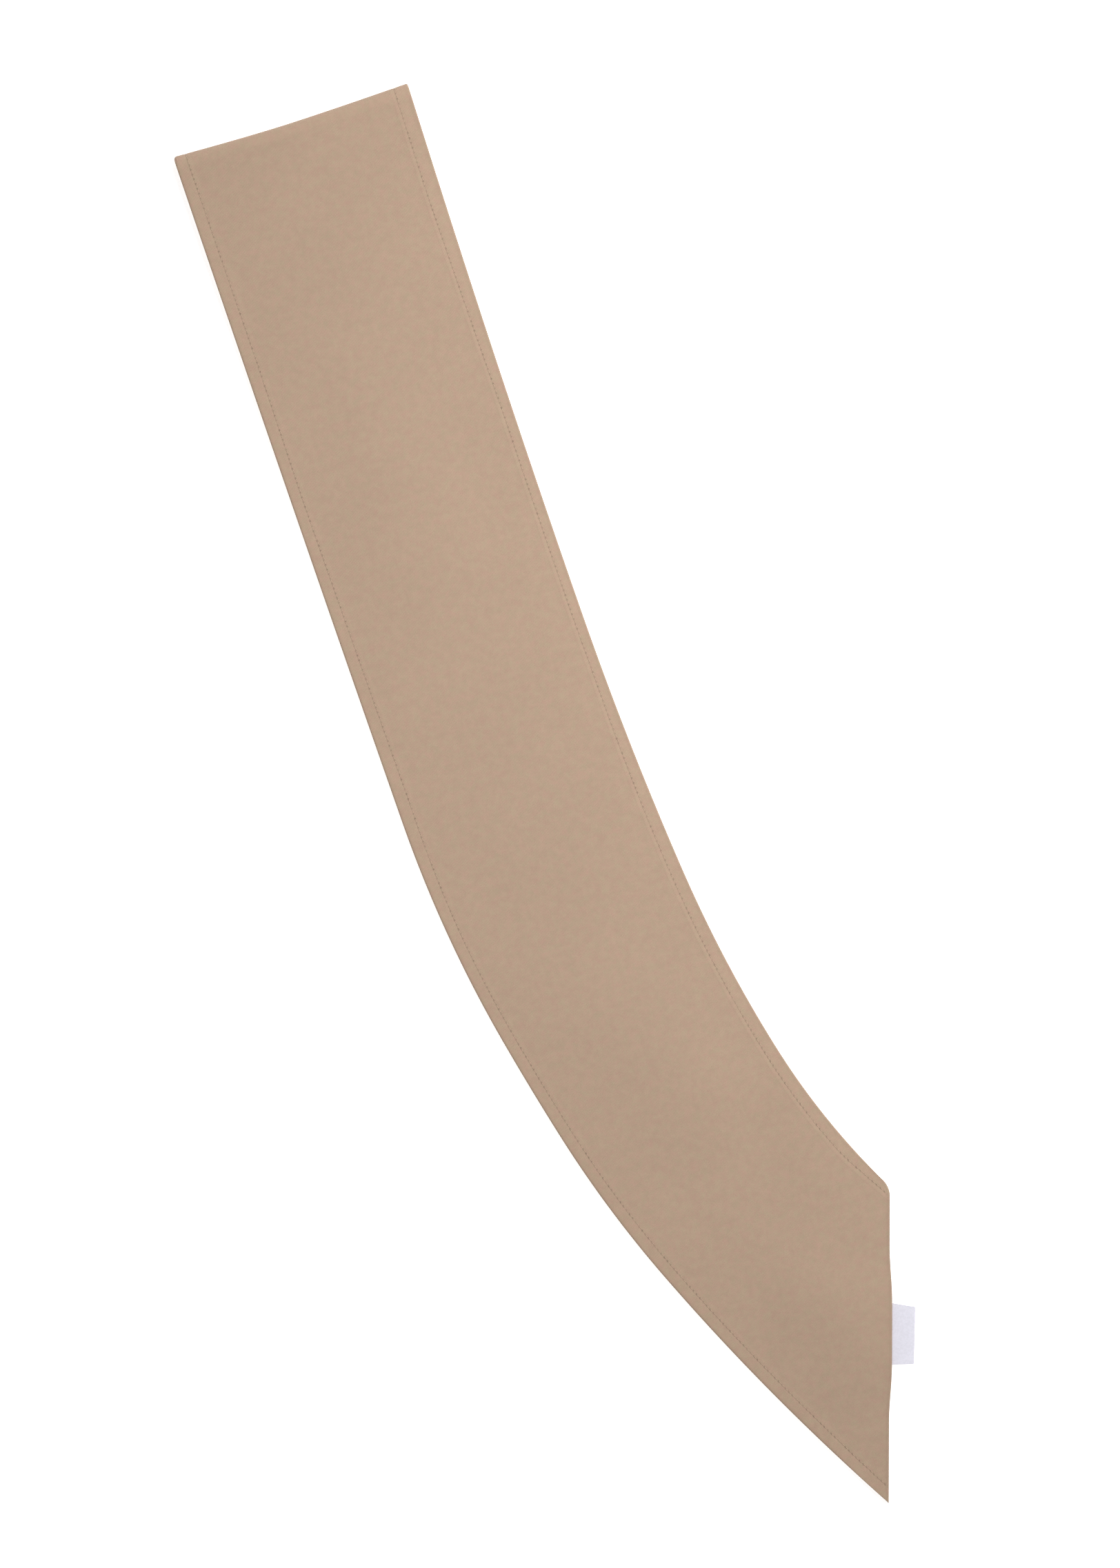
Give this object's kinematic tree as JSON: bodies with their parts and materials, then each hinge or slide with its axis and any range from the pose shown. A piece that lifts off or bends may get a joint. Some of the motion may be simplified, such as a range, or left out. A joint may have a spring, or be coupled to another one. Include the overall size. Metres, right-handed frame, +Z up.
{
  "type": "sash",
  "caption": "Brown cloth shoulder sash lying flat: a hemmed strip folded at the shoulder, curved to a slanted hip seam with a small folded label.",
  "frame": {"origin": "under the middle of the whole sash, label included, on the surface that it lies on", "axes": "+Z up from that surface, +Y along the sash's length from the hip up to the shoulder fold, +X across it towards the hip seam and the label"},
  "size_m": [0.4014, 0.7668, 0.009],
  "materials": {
    "cloth": "matt brown cotton twill, hemmed with thread of the same colour",
    "label": "smooth near-white woven tape, folded double"
  },
  "bodies": {
    "root": {"front_panel": "cloth", "back_panel": "cloth", "shoulder_fold": "cloth", "front_seam_allowance": "cloth", "back_seam_allowance": "cloth", "label": "label"}
  },
  "joints": []
}
